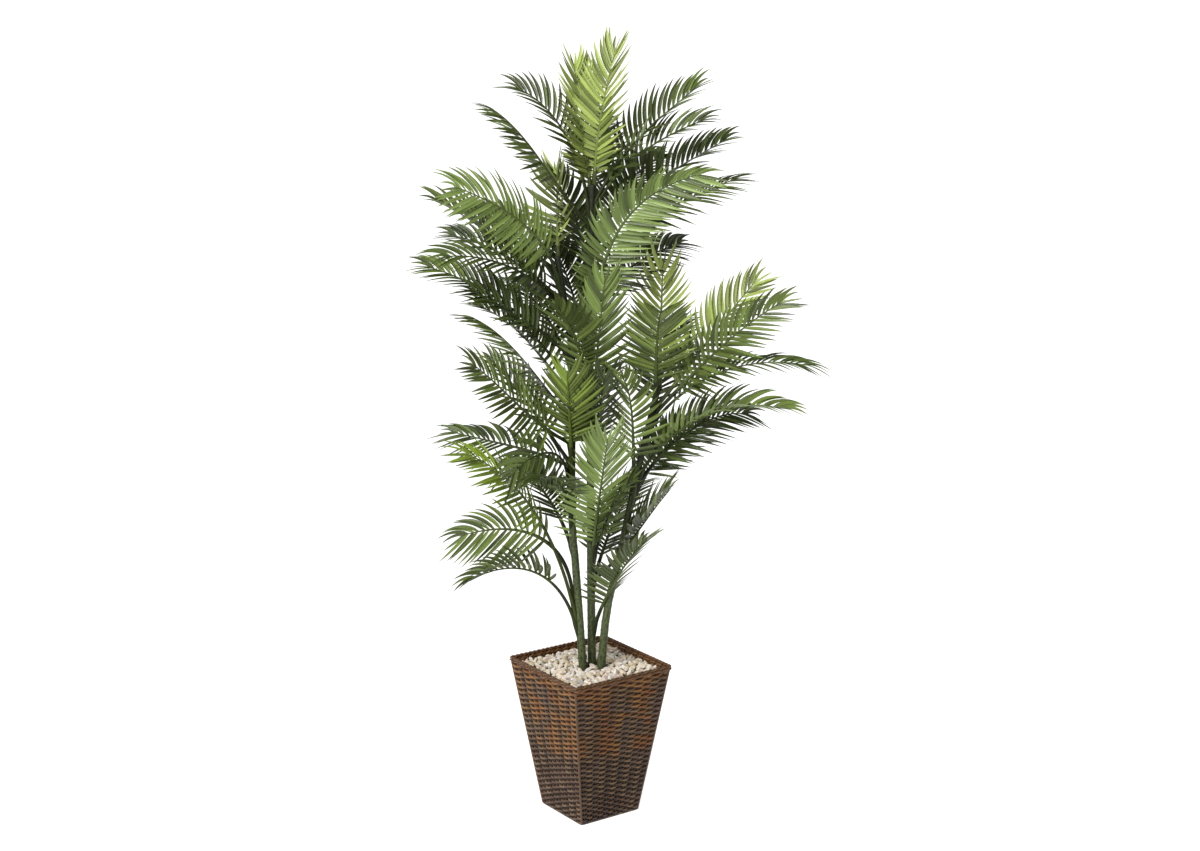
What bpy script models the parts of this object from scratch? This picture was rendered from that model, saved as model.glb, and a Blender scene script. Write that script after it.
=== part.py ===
"""Potted artificial feather palm: a woven square pot, its pebble bed, three stems and their fronds.

Metres, +Z up. The origin is the centre of the pot's flat underside and the pot's sides lie along X and Y.
The plant stands turned in its pot, so stems and fronds are laid out in a crown frame of their own: there
+X is the plant's right, +Y its back, and azimuths run anticlockwise from +X (270 is the front).
"""

import math
from collections import namedtuple

import bmesh
import bpy
from mathutils import Vector
from mathutils.bvhtree import BVHTree

# The whole object
OBJECT_NAME = "potted_feather_palm"
GAP = 0.0003  # kept between pieces that touch
WELD = 0.00001  # points closer than this become one

# Pot, a tapered square basket with a wrapped rim
POT_HEIGHT = 0.430
POT_TOP = 0.328  # wall to wall under the rim
POT_BOTTOM = 0.201
POT_WALL = 0.008
POT_FLOOR = 0.012
POT_CORNER = 0.010  # radius of the upright corners
CORNER_STEPS = 2
RIM_HEIGHT = 0.018
RIM_PROUD = 0.003  # how far the rim stands out of the wall, inside and outside

# Pebble bed, level in the middle and lower at the rim
BED_TOP = 0.412
BED_EDGE = 0.404
BED_LEVEL_SHARE = 0.72  # how much of the bed's width is level

# The plant in its pot
CROWN_YAW = -35.0

# Stems: radius at the foot and at the tip, and the route of the axis, which starts on the bed
STEM_SIDES_RESOLUTION = 3
STEM_STEPS = 13
STEM_CROWN = 0.55  # the blunt tip's radius, as a share of the stem's
STEM_CROWN_HEIGHT = 0.004
STEM_SHARP_ANGLE = 40.0  # edges sharper than this stay crisp, such as the flat cut at the foot
Stem = namedtuple("Stem", "name foot_radius tip_radius route")
STEMS = (
    Stem("left", 0.0115, 0.0080, ((-0.019, -0.012), (-0.038, -0.014, 0.70), (-0.048, -0.012, 0.84),
                                  (-0.047, 0.000, 1.10), (-0.048, 0.008, 1.30), (-0.085, 0.008, 1.55))),
    Stem("centre", 0.0115, 0.0075, ((0.006, 0.018), (0.003, 0.020, 0.70), (0.002, 0.014, 1.10),
                                    (0.003, 0.008, 1.50), (0.008, 0.004, 1.74))),
    Stem("right", 0.0115, 0.0080, ((0.031, -0.010), (0.047, -0.010, 0.58), (0.082, -0.006, 0.735),
                                   (0.121, 0.000, 0.93), (0.172, 0.008, 1.15), (0.187, 0.010, 1.20))),
)

# Frond: petiole, rib and leaflets
PETIOLE_WIDTH = 0.0065
PETIOLE_DEPTH = 0.0050
RIB_WIDTH = 0.0045  # where the leaflets begin
RIB_DEPTH = 0.0032
RIB_END_WIDTH = 0.0022
RIB_END_DEPTH = 0.0016
RIB_END_SHARE = 0.86  # the last leaflet runs on from here to the frond's tip
PETIOLE_STEPS = 3
RIB_SAMPLES = 48
LEAF_SPACING = 0.036  # along the rib
LEAST_PAIRS = 7
LEAF_THICKNESS = 0.0016
LEAF_FULL_WIDTH = 0.62  # of the spacing along the rib
LEAF_BELLY = 0.42  # where a leaflet is widest
LEAF_ROOT_LENGTH = 0.74  # of the frond's longest leaflets
LEAF_END_LENGTH = 0.60
LEAF_LONGEST_AT = 0.38  # of the way along the rib
LEAF_FADE = 1.6  # how late the leaflets grow shorter towards the tip
LEAF_ROOT_ANGLE = 78.0  # from the rib, degrees
LEAF_ANGLE_HOLD = 1.3  # above 1 they stay open along more of the rib
LEAF_END_ANGLE = 20.0
LEAF_DROOP = 0.26  # of its length, for a level one
LEAF_CLEARANCE = 0.0006
LEAF_FREE_FROM = 0.16  # the share at its root that is not tested, since it is fused to the rib
LEAF_TRIES = (1.0, 0.8, 0.6, 0.4)  # a leaflet that would touch something is shortened or skipped

# One row a frond: the height at which its petiole leaves the stem, its azimuth, how far from the stem and
# how high its tip is, the angle at which it rises and then falls, how stiffly it holds that rise, the bare
# share of its rib, the roll of its blade, the lift of its leaflets, their length, and its tint
Frond = namedtuple("Frond", "name stem foot azimuth reach tip rise fall spring bare roll lift leaf tint")
FRONDS = (
    Frond("top", "centre", 1.715, 60, 0.150, 2.128, 88, -58, 1.05, 0.15, 0, 30, 0.140, "light"),
    Frond("top_back", "centre", 1.705, 115, 0.130, 2.085, 84, -66, 1.05, 0.15, 0, 30, 0.130, "light"),
    Frond("upper_left_a", "centre", 1.690, 172, 0.245, 2.000, 82, -4, 1.15, 0.18, -30, 25, 0.125, "mid"),
    Frond("upper_left_b", "centre", 1.640, 200, 0.320, 1.970, 44, -20, 1.05, 0.30, -12, -20, 0.125, "mid"),
    Frond("upper_right_a", "centre", 1.700, 10, 0.320, 2.020, 64, -36, 1.05, 0.18, 25, 35, 0.130, "mid"),
    Frond("upper_right_b", "centre", 1.680, -10, 0.340, 1.930, 66, -18, 1.05, 0.18, 25, 25, 0.125, "mid"),
    Frond("upper_right_c", "centre", 1.620, 15, 0.418, 1.875, 42, -28, 1.05, 0.18, 25, 35, 0.125, "mid"),
    Frond("upper_right_d", "centre", 1.560, 5, 0.440, 1.770, 34, -16, 1.05, 0.22, 15, 5, 0.130, "mid"),
    Frond("left_top", "left", 1.540, 92, 0.100, 1.800, 87, -75, 1.05, 0.15, -35, 35, 0.130, "light"),
    Frond("left_front", "left", 1.500, 215, 0.370, 1.775, 74, -20, 1.00, 0.16, -60, 5, 0.150, "pale"),
    Frond("left_a", "left", 1.440, 190, 0.390, 1.720, 40, -12, 1.05, 0.21, -20, 35, 0.130, "mid"),
    Frond("left_b", "left", 1.420, 165, 0.364, 1.600, 50, 0, 1.05, 0.21, -25, 30, 0.120, "dark"),
    Frond("left_c", "left", 1.400, 200, 0.385, 1.560, 62, 14, 1.05, 0.18, -30, 20, 0.135, "dark"),
    Frond("left_d", "left", 1.290, 180, 0.435, 1.535, 42, -8, 1.05, 0.21, -30, 25, 0.130, "mid"),
    Frond("left_e", "left", 1.230, 190, 0.317, 1.480, 50, -8, 1.05, 0.18, -30, 25, 0.120, "dark"),
    Frond("left_f", "left", 1.180, 172, 0.295, 1.420, 55, -5, 1.05, 0.18, -20, 35, 0.120, "mid"),
    Frond("left_g", "left", 1.120, 200, 0.326, 1.425, 50, -15, 1.05, 0.18, 4, -16, 0.125, "mid"),
    Frond("left_h", "left", 1.050, 215, 0.355, 1.330, 28, -32, 1.05, 0.18, -58, 5, 0.125, "mid"),
    Frond("left_i", "left", 1.000, 160, 0.270, 1.285, 52, -35, 1.05, 0.22, -20, 25, 0.120, "mid"),
    Frond("low_left_a", "left", 0.985, 165, 0.380, 1.068, 22, -14, 1.05, 0.18, -30, 10, 0.125, "dark"),
    Frond("low_left_b", "left", 0.575, 203, 0.400, 1.075, 78, -10, 1.15, 0.42, -35, 0, 0.140, "bright"),
    Frond("low_left_c", "left", 0.950, 214, 0.210, 0.955, 84, 70, 2.20, 0.16, -30, 10, 0.115, "dark"),
    Frond("low_left_d", "left", 0.600, 178, 0.370, 0.765, 88, 28, 1.98, 0.40, -60, 0, 0.130, "mid"),
    Frond("low_left_e", "left", 0.545, 200, 0.350, 0.670, 74, 40, 1.85, 0.33, -5, 45, 0.100, "mid"),
    Frond("front_high", "centre", 1.340, -25, 0.390, 1.800, 89, -10, 1.70, 0.16, 118, 17, 0.130, "pale"),
    Frond("front_mid", "centre", 1.100, 300, 0.085, 1.550, 86, -80, 1.05, 0.15, -10, 10, 0.140, "pale"),
    Frond("front_mid_left", "centre", 1.200, 235, 0.200, 1.470, 76, -30, 1.05, 0.16, 0, 15, 0.150, "mid"),
    Frond("right_top", "right", 1.196, 82, 0.095, 1.560, 76, -72, 1.05, 0.14, 0, 28, 0.145, "light"),
    Frond("right_front", "right", 1.160, 276, 0.160, 1.420, 88, 20, 1.40, 0.18, 0, 10, 0.145, "mid"),
    Frond("right_a", "right", 1.150, 20, 0.338, 1.510, 46, -42, 1.05, 0.16, 45, 15, 0.130, "light"),
    Frond("right_b", "right", 1.130, 0, 0.400, 1.460, 48, -26, 1.05, 0.18, 45, 10, 0.130, "mid"),
    Frond("right_c", "right", 1.100, -8, 0.485, 1.250, 56, 22, 1.20, 0.16, 10, 15, 0.120, "dark"),
    Frond("right_d", "right", 0.970, -15, 0.460, 1.150, 60, 16, 1.30, 0.16, 15, 35, 0.125, "mid"),
    Frond("right_e", "right", 0.940, 20, 0.375, 1.085, 50, 26, 1.35, 0.16, 35, 15, 0.125, "dark"),
    Frond("right_f", "right", 0.950, 235, 0.105, 1.270, 88, -30, 1.30, 0.16, 0, 10, 0.135, "mid"),
    Frond("low_front", "centre", 0.700, 288, 0.160, 1.135, 80, -72, 1.05, 0.16, 0, 15, 0.160, "pale"),
    Frond("low_right_a", "centre", 0.660, -35, 0.290, 0.985, 40, -44, 1.05, 0.30, 20, 30, 0.130, "mid"),
    Frond("low_right_b", "centre", 0.530, -48, 0.256, 0.845, 66, -38, 1.05, 0.18, 0, 25, 0.130, "mid"),
    Frond("low_right_c", "centre", 0.730, 320, 0.175, 0.985, 72, -38, 1.05, 0.16, 40, 10, 0.120, "dark"),
    Frond("front_left_low", "left", 1.000, 262, 0.090, 1.285, 85, -78, 1.05, 0.16, 0, 15, 0.140, "bright"),
    Frond("front_centre_low", "centre", 1.000, 300, 0.090, 1.270, 84, -72, 1.05, 0.16, 0, 15, 0.140, "dark"),
    Frond("front_low_left", "left", 0.860, 250, 0.280, 1.000, 66, 12, 1.10, 0.18, 0, 10, 0.120, "dark"),
    Frond("back_left_upper", "centre", 1.520, 130, 0.150, 1.780, 80, -60, 1.05, 0.16, 0, 20, 0.120, "dark"),
    Frond("back_centre_upper", "centre", 1.270, 125, 0.230, 1.600, 72, -30, 1.05, 0.16, 0, 20, 0.135, "dark"),
    Frond("back_right_upper", "centre", 1.400, 42, 0.380, 1.560, 55, -5, 1.05, 0.18, 30, 20, 0.125, "dark"),
    Frond("back_left_high", "left", 1.470, 140, 0.390, 1.660, 56, -5, 1.05, 0.18, -20, 20, 0.125, "mid"),
    Frond("back_right_high", "centre", 1.580, 55, 0.390, 1.800, 58, -8, 1.05, 0.18, 20, 25, 0.125, "mid"),
    Frond("back_right_low", "right", 0.890, 50, 0.390, 1.050, 56, 5, 1.05, 0.18, 20, 20, 0.125, "mid"),
    Frond("back_top", "centre", 1.660, 85, 0.360, 1.900, 66, -5, 1.05, 0.18, 0, 20, 0.125, "mid"),
    Frond("back_high", "centre", 1.460, 100, 0.420, 1.640, 52, 5, 1.05, 0.18, 0, 25, 0.130, "dark"),
    Frond("back_left_mid", "left", 1.250, 120, 0.410, 1.440, 52, 5, 1.05, 0.18, 0, 20, 0.125, "dark"),
    Frond("back_right_mid", "right", 1.080, 70, 0.400, 1.340, 55, -5, 1.05, 0.18, 0, 25, 0.125, "dark"),
    Frond("back_low_mid", "centre", 0.980, 95, 0.420, 1.150, 52, 8, 1.05, 0.18, 0, 20, 0.125, "dark"),
    Frond("back_low_left", "left", 0.760, 125, 0.380, 0.930, 58, 10, 1.05, 0.18, 0, 20, 0.125, "mid"),
    Frond("back_low_right", "centre", 0.640, 62, 0.370, 0.860, 62, 8, 1.05, 0.18, 0, 25, 0.125, "mid"),
)

# Finishes: colour, roughness
FINISHES = {
    "wicker": ((0.16, 0.075, 0.032), 0.55),
    "pebbles": ((0.62, 0.55, 0.45), 0.80),
    "stem": ((0.035, 0.060, 0.028), 0.60),
    "frond_light": ((0.27, 0.36, 0.11), 0.42),
    "frond_pale": ((0.20, 0.30, 0.12), 0.38),
    "frond_bright": ((0.17, 0.30, 0.05), 0.42),
    "frond_mid": ((0.085, 0.15, 0.045), 0.42),
    "frond_dark": ((0.040, 0.080, 0.028), 0.45),
}

UP = Vector((0.0, 0.0, 1.0))


# Small tools

def clear_scene():
    for old in list(bpy.data.objects):
        bpy.data.objects.remove(old, do_unlink=True)


def make_material(name):
    colour, roughness = FINISHES[name]
    material = bpy.data.materials.new(name)
    material.use_nodes = True
    shader = material.node_tree.nodes["Principled BSDF"]
    shader.inputs["Base Color"].default_value = (*colour, 1.0)
    shader.inputs["Roughness"].default_value = roughness
    shader.inputs["Metallic"].default_value = 0.0
    return material


def add_object(name, mesh, material, collection, parent=None):
    piece = bpy.data.objects.new(name, mesh)
    piece.data.materials.append(material)
    collection.objects.link(piece)
    piece.parent = parent
    return piece


def finish_mesh(bm, name):
    """Welds the tips, turns every face outwards and gives the mesh."""
    bmesh.ops.remove_doubles(bm, verts=bm.verts, dist=WELD)
    bmesh.ops.recalc_face_normals(bm, faces=bm.faces)
    mesh = bpy.data.meshes.new(name)
    bm.to_mesh(mesh)
    bm.free()
    return mesh


def start_face(bm, corners):
    """A first face to grow a solid from, and its corners, on which the open end is closed afterwards."""
    verts = [bm.verts.new(corner) for corner in corners]
    return bm.faces.new(verts), verts


def grow(bm, face, corners):
    """Extrudes a face and puts its corners where they belong."""
    grown = bmesh.ops.extrude_discrete_faces(bm, faces=[face])["faces"][0]
    for vert, corner in zip(grown.verts, corners):
        vert.co = corner
    return grown


def blend(first, second, share):
    return first + (second - first) * share


def heading(azimuth, climb=0.0):
    """Unit vector at an azimuth and a climb above the level, in degrees."""
    turn, rise = math.radians(azimuth), math.radians(climb)
    return Vector((math.cos(turn) * math.cos(rise), math.sin(turn) * math.cos(rise), math.sin(rise)))


# Pot and pebble bed

def rounded_square(half, radius, z):
    """Corners of a level square of the given half width whose corners are rounded."""
    points = []
    for quarter in range(4):
        for step in range(CORNER_STEPS + 1):
            angle = math.radians(90 * (quarter + step / CORNER_STEPS))
            mid = heading(90 * quarter + 45) * math.sqrt(2) * (half - radius)
            points.append(mid + heading(math.degrees(angle)) * radius + UP * z)
    return points


def stack_squares(name, rings):
    """Closed solid through rounded squares, each a half width, a corner radius and a height."""
    bm = bmesh.new()
    face, foot = start_face(bm, rounded_square(*rings[0]))
    for ring in rings[1:]:
        face = grow(bm, face, rounded_square(*ring))
    bm.faces.new(foot)
    return finish_mesh(bm, name)


def pot_half(z):
    """Half width of the wall's outside at a height."""
    return blend(POT_BOTTOM, POT_TOP, z / POT_HEIGHT) / 2


def make_pot(material, collection):
    rim_foot = POT_HEIGHT - RIM_HEIGHT
    outside = pot_half(rim_foot)
    inside = outside - POT_WALL
    radius = POT_CORNER
    round_over = RIM_HEIGHT / 4
    rings = (
        (pot_half(0.0), radius, 0.0),
        (outside, radius, rim_foot),
        (outside + RIM_PROUD, radius, rim_foot + round_over),
        (outside + RIM_PROUD, radius, POT_HEIGHT - round_over),
        (outside, radius, POT_HEIGHT),
        (inside, radius, POT_HEIGHT),
        (inside - RIM_PROUD, radius, POT_HEIGHT - round_over),
        (inside - RIM_PROUD, radius, rim_foot + round_over),
        (inside, radius, rim_foot),
        (pot_half(POT_FLOOR) - POT_WALL, radius, POT_FLOOR),
    )
    add_object("basket", stack_squares("basket", rings), material, collection)


def make_bed(material, collection):
    """The pot's filling, with a level top for the stems to stand on."""
    foot = POT_FLOOR + GAP
    edge = pot_half(BED_EDGE) - POT_WALL - GAP
    rings = (
        (pot_half(foot) - POT_WALL - GAP, POT_CORNER, foot),
        (edge, POT_CORNER, BED_EDGE),
        (edge * BED_LEVEL_SHARE, POT_CORNER, BED_TOP),
    )
    add_object("pebble_bed", stack_squares("pebble_bed", rings), material, collection)


# Stems

def stem_points(stem):
    foot = Vector((*stem.route[0], BED_TOP + GAP))
    return smooth_route([foot, *map(Vector, stem.route[1:])], STEM_STEPS)


def smooth_route(route, steps):
    """Even points on a smooth curve through the route (Catmull-Rom)."""
    ends = [route[0] * 2 - route[1], *route, route[-1] * 2 - route[-2]]
    points = []
    for step in range(steps + 1):
        place = step * (len(route) - 1) / steps
        span = min(int(place), len(route) - 2)
        t = place - span
        p0, p1, p2, p3 = ends[span:span + 4]
        points.append(0.5 * (2 * p1 + (p2 - p0) * t + (2 * p0 - 5 * p1 + 4 * p2 - p3) * t ** 2
                             + (3 * p1 - p0 - 3 * p2 + p3) * t ** 3))
    return points


def stem_radius(stem, z):
    foot, tip = BED_TOP, stem.route[-1][2]
    return blend(stem.foot_radius, stem.tip_radius, (z - foot) / (tip - foot))


def stem_place(stem, z):
    """The axis, its direction and the radius of a stem at a height."""
    points = stem_points(stem)
    for low, high in zip(points, points[1:]):
        if z <= high.z:
            break
    axis = blend(low, high, (z - low.z) / (high.z - low.z))
    return axis, (high - low).normalized(), stem_radius(stem, z)


def make_stem(stem, material, collection, crown):
    points = stem_points(stem)
    tip_rise = (points[-1] - points[-2]).normalized() * STEM_CROWN_HEIGHT
    curve = bpy.data.curves.new(stem.name, "CURVE")
    curve.dimensions = "3D"
    curve.bevel_depth = 1.0
    curve.bevel_resolution = STEM_SIDES_RESOLUTION
    curve.use_fill_caps = True
    spline = curve.splines.new("POLY")
    spline.points.add(len(points))
    for spot, place in zip(spline.points, [*points, points[-1] + tip_rise]):
        spot.co = (*place, 1.0)
        spot.radius = stem_radius(stem, min(place.z, points[-1].z))
    spline.points[-1].radius *= STEM_CROWN
    draft = bpy.data.objects.new(stem.name, curve)
    collection.objects.link(draft)
    mesh = bpy.data.meshes.new_from_object(draft.evaluated_get(bpy.context.evaluated_depsgraph_get()))
    bpy.data.objects.remove(draft)
    bm = bmesh.new()
    bm.from_mesh(mesh)
    bmesh.ops.remove_doubles(bm, verts=bm.verts, dist=WELD)
    for vert in bm.verts:
        if vert.co.z < points[0].z + stem.foot_radius / 2:
            vert.co.z = points[0].z
    name = "stem_" + stem.name
    mesh = finish_mesh(bm, name)
    mesh.shade_smooth()
    mesh.set_sharp_from_angle(angle=math.radians(STEM_SHARP_ANGLE))
    add_object(name, mesh, material, collection, crown)
    return mesh


# Fronds

def rib_curve(frond):
    """Points along a frond, from its petiole's foot beside the stem to its tip."""
    stem = next(stem for stem in STEMS if stem.name == frond.stem)
    axis, climb, radius = stem_place(stem, frond.foot)
    out = heading(frond.azimuth)
    beside = (out - climb * out.dot(climb)).normalized()
    above = heading(frond.azimuth, frond.rise + 90)
    foot = axis + beside * (radius + GAP + PETIOLE_DEPTH / 2 * abs(above.dot(beside)))
    tip = axis + out * frond.reach
    tip.z = frond.tip
    chord = (tip - foot).length
    leave = heading(frond.azimuth, frond.rise) * chord * frond.spring
    arrive = heading(frond.azimuth, -frond.fall) * chord
    points = []
    for step in range(RIB_SAMPLES + 1):
        t = step / RIB_SAMPLES
        points.append((2 * t ** 3 - 3 * t ** 2 + 1) * foot + (t ** 3 - 2 * t ** 2 + t) * leave
                      + (3 * t ** 2 - 2 * t ** 3) * tip + (t ** 3 - t ** 2) * arrive)
    return points


def along_rib(points, share):
    """Point and direction at a share of the rib's length."""
    steps = [(b - a).length for a, b in zip(points, points[1:])]
    left = share * sum(steps)
    for start, end, step in zip(points, points[1:], steps):
        if left <= step:
            break
        left -= step
    return blend(start, end, min(left / step, 1.0)), (end - start).normalized()


def rib_frame(frond, points, share):
    """Point, direction, left side and upper face of the blade at a share of the rib's length."""
    point, ahead = along_rib(points, share)
    level = UP.cross(heading(frond.azimuth))
    above = ahead.cross(level)
    roll = math.radians(frond.roll) * min(share / frond.bare, 1.0)
    left = level * math.cos(roll) + above * math.sin(roll)
    face = above * math.cos(roll) - level * math.sin(roll)
    return point, ahead, left, face


def rib_size(frond, share):
    if share < frond.bare:
        part = share / frond.bare
        return blend(PETIOLE_WIDTH, RIB_WIDTH, part), blend(PETIOLE_DEPTH, RIB_DEPTH, part)
    part = (share - frond.bare) / (RIB_END_SHARE - frond.bare)
    return blend(RIB_WIDTH, RIB_END_WIDTH, part), blend(RIB_DEPTH, RIB_END_DEPTH, part)


def rib_section(frond, points, share, spare=0.0):
    """Four corners across the rib: left top, left bottom, right bottom, right top."""
    point, _, left, face = rib_frame(frond, points, share)
    width, depth = rib_size(frond, share)
    side, rise = left * (width / 2 + spare), face * (depth / 2 + spare)
    return [point + side + rise, point + side - rise, point - side - rise, point - side + rise]


def rib_shares(frond, points):
    """Shares of the rib's length at the petiole's sections and at the leaflets' edges."""
    petiole = [frond.bare * step / PETIOLE_STEPS for step in range(PETIOLE_STEPS)]
    leafy = RIB_END_SHARE - frond.bare
    length = sum((end - start).length for start, end in zip(points, points[1:]))
    pairs = max(LEAST_PAIRS, round(leafy * length / LEAF_SPACING))
    return petiole, [frond.bare + leafy * step / pairs for step in range(pairs + 1)]


# base holds the corners on the rib's side, keyed by whether they are far along it and on its upper face
Leaflet = namedtuple("Leaflet", "root base along across face length belly_half")


def leaflet_length(frond, place):
    """Length of a leaflet at a place from 0, the first, to 1, the last."""
    if place < LEAF_LONGEST_AT:
        swell = math.sin(math.pi / 2 * place / LEAF_LONGEST_AT)
        return frond.leaf * blend(LEAF_ROOT_LENGTH, 1.0, swell)
    fade = (place - LEAF_LONGEST_AT) / (1 - LEAF_LONGEST_AT)
    return frond.leaf * blend(1.0, LEAF_END_LENGTH, fade ** LEAF_FADE)


def make_leaflet(frond, points, near, far, side, shorten):
    """A leaflet that grows from the rib between two shares, on its left (1) or its right (-1)."""
    middle = (near + far) / 2
    place = (middle - frond.bare) / (RIB_END_SHARE - frond.bare)
    point, ahead, left, face = rib_frame(frond, points, middle)
    lift = math.radians(frond.lift)
    sideways = left * side * math.cos(lift) + face * math.sin(lift)
    upper = face * math.cos(lift) - left * side * math.sin(lift)
    angle = math.radians(blend(LEAF_ROOT_ANGLE, LEAF_END_ANGLE, place ** LEAF_ANGLE_HOLD))
    along = ahead * math.cos(angle) + sideways * math.sin(angle)
    across = ahead * math.sin(angle) - sideways * math.cos(angle)
    top, bottom = (0, 1) if side > 0 else (3, 2)
    base = {(is_far, is_top): rib_section(frond, points, far if is_far else near)[top if is_top else bottom]
            for is_far in (True, False) for is_top in (True, False)}
    spacing = (base[True, True] - base[False, True]).length
    belly_half = spacing / 2 * LEAF_FULL_WIDTH * math.sqrt(math.sin(angle))
    return Leaflet(point, base, along, across, upper, leaflet_length(frond, place) * shorten, belly_half)


def leaflet_ring(leaflet, share, spare=0.0):
    """Corners across a leaflet, keyed by whether they are on its far edge and on its upper face."""
    reach = max(share, LEAF_BELLY)
    distance = leaflet.length * reach
    droop = LEAF_DROOP * distance * reach * math.hypot(leaflet.along.x, leaflet.along.y)
    middle = leaflet.root + leaflet.along * distance - UP * droop
    half_width = leaflet.belly_half * (1 - reach) / (1 - LEAF_BELLY)
    ring = {}
    for (is_far, is_top), start in leaflet.base.items():
        edge = leaflet.across if is_far else -leaflet.across
        rise = leaflet.face if is_top else -leaflet.face
        corner = middle + edge * half_width + rise * (LEAF_THICKNESS / 2)
        ring[is_far, is_top] = blend(start, corner, min(share / LEAF_BELLY, 1.0)) + (edge + rise) * spare
    return ring


RING_ORDER = ((False, True), (False, False), (True, False), (True, True))


def tube_tree(rings):
    """Search tree of the closed tube through rings of four corners."""
    corners = [corner for ring in rings for corner in ring]
    faces = [(0, 1, 2, 3), tuple(len(corners) - k for k in (1, 2, 3, 4))]
    for start in range(0, len(corners) - 4, 4):
        for k in range(4):
            after = (k + 1) % 4
            faces.append((start + k, start + after, start + 4 + after, start + 4 + k))
    return BVHTree.FromPolygons(corners, faces)


def rib_tree(frond, points):
    """Search tree of a frond's petiole and rib, a little larger than they are."""
    petiole, leafy = rib_shares(frond, points)
    shares = (*petiole, *leafy, 1.0)
    return tube_tree([rib_section(frond, points, share, LEAF_CLEARANCE) for share in shares])


def leaflet_tree(leaflet, start):
    """Search tree of a leaflet from a share of its length on, a little larger than the leaflet."""
    rings = []
    for share in (start, LEAF_BELLY, 1.0):
        ring = leaflet_ring(leaflet, share, LEAF_CLEARANCE)
        rings.append([ring[key] for key in RING_ORDER])
    return tube_tree(rings)


def touches(tree, others):
    return any(tree.overlap(other) for other in others)


def choose_leaflet(frond, points, near, far, side, others, siblings):
    """The longest leaflet that touches nothing else and no leaflet of its own frond, or None."""
    for shorten in LEAF_TRIES:
        leaflet = make_leaflet(frond, points, near, far, side, shorten)
        whole, free = leaflet_tree(leaflet, 0.0), leaflet_tree(leaflet, LEAF_FREE_FROM)
        if not touches(whole, others) and not touches(free, siblings):
            siblings.append(free)
            return leaflet, whole
    return None, None


def grow_leaflet(bm, face, far_verts, top_verts, leaflet):
    """Extrudes a side face of the rib into a leaflet: out to its belly, then to its point."""
    keys = [(vert in far_verts, vert in top_verts) for vert in face.verts]
    for share in (LEAF_BELLY, 1.0):
        ring = leaflet_ring(leaflet, share)
        face = grow(bm, face, [ring[key] for key in keys])


def make_frond(frond, points, others, material, collection, crown):
    """A rib of rectangular section whose sides are drawn out into leaflets, cut to the rib between them.

    Gives the search trees of its leaflets.
    """
    bm = bmesh.new()
    siblings, grown = [], []
    petiole, leafy = rib_shares(frond, points)
    face, foot = start_face(bm, rib_section(frond, points, petiole[0]))
    for share in (*petiole[1:], leafy[0]):
        face = grow(bm, face, rib_section(frond, points, share))
    jobs = []
    for near, far in zip(leafy, leafy[1:]):
        behind = list(face.verts)
        face = grow(bm, face, rib_section(frond, points, far))
        ahead = list(face.verts)
        tops = {behind[0], behind[3], ahead[0], ahead[3]}
        for corner, side in ((0, 1), (2, -1)):
            flank = next(other for other in face.loops[corner].edge.link_faces if other is not face)
            leaflet, tree = choose_leaflet(frond, points, near, far, side, others, siblings)
            if leaflet:
                jobs.append((flank, set(ahead), tops, leaflet))
                grown.append(tree)
    tip, _, _, upper = rib_frame(frond, points, 1.0)
    rise = upper * (RIB_END_DEPTH / 2)
    grow(bm, face, [tip + rise, tip - rise, tip - rise, tip + rise])
    bm.faces.new(foot)
    for flank, ahead, tops, leaflet in jobs:
        grow_leaflet(bm, flank, ahead, tops, leaflet)
    name = "frond_" + frond.name
    add_object(name, finish_mesh(bm, name), material, collection, crown)
    return grown


def mesh_tree(mesh):
    corners = [vert.co for vert in mesh.vertices]
    return BVHTree.FromPolygons(corners, [face.vertices[:] for face in mesh.polygons])


def main():
    clear_scene()
    collection = bpy.data.collections.new(OBJECT_NAME)
    bpy.context.scene.collection.children.link(collection)
    finishes = {name: make_material(name) for name in FINISHES}
    crown = bpy.data.objects.new("crown", None)
    crown.rotation_euler.z = math.radians(CROWN_YAW)
    collection.objects.link(crown)
    make_pot(finishes["wicker"], collection)
    make_bed(finishes["pebbles"], collection)
    solids = [mesh_tree(make_stem(stem, finishes["stem"], collection, crown)) for stem in STEMS]
    curves = [rib_curve(frond) for frond in FRONDS]
    ribs = [rib_tree(frond, curve) for frond, curve in zip(FRONDS, curves)]
    for number, frond in enumerate(FRONDS):
        others = solids + ribs[:number] + ribs[number + 1:]
        finish = finishes["frond_" + frond.tint]
        solids += make_frond(frond, curves[number], others, finish, collection, crown)


main()
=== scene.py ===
"""Looks of the potted artificial feather palm: woven pot, pebbles, stems, ribs and leaflets.

Metres, +Z up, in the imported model's frame. As in the part's source, stems and fronds are laid out in a crown
frame of their own and turned in the pot: there +X is the plant's right, +Y its back, and azimuths run
anticlockwise from +X (270 is the front). The camera stands in front of that frame too.
"""

import math
from collections import namedtuple

import bmesh
import bpy
import numpy as np
from mathutils import Euler, Matrix, Vector


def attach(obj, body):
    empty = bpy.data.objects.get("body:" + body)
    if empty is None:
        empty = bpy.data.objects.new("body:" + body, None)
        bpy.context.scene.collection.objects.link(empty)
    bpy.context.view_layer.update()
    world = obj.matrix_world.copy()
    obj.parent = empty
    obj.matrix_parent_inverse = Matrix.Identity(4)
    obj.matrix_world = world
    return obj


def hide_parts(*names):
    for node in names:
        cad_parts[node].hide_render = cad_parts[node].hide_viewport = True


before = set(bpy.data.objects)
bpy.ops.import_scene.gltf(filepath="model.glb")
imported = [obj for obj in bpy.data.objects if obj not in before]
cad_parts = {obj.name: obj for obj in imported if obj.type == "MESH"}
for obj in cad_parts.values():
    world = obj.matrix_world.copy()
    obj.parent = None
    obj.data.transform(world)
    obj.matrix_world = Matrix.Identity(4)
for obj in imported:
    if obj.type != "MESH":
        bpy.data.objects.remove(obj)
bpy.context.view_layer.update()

SEED = 7
BODY = "root"
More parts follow.
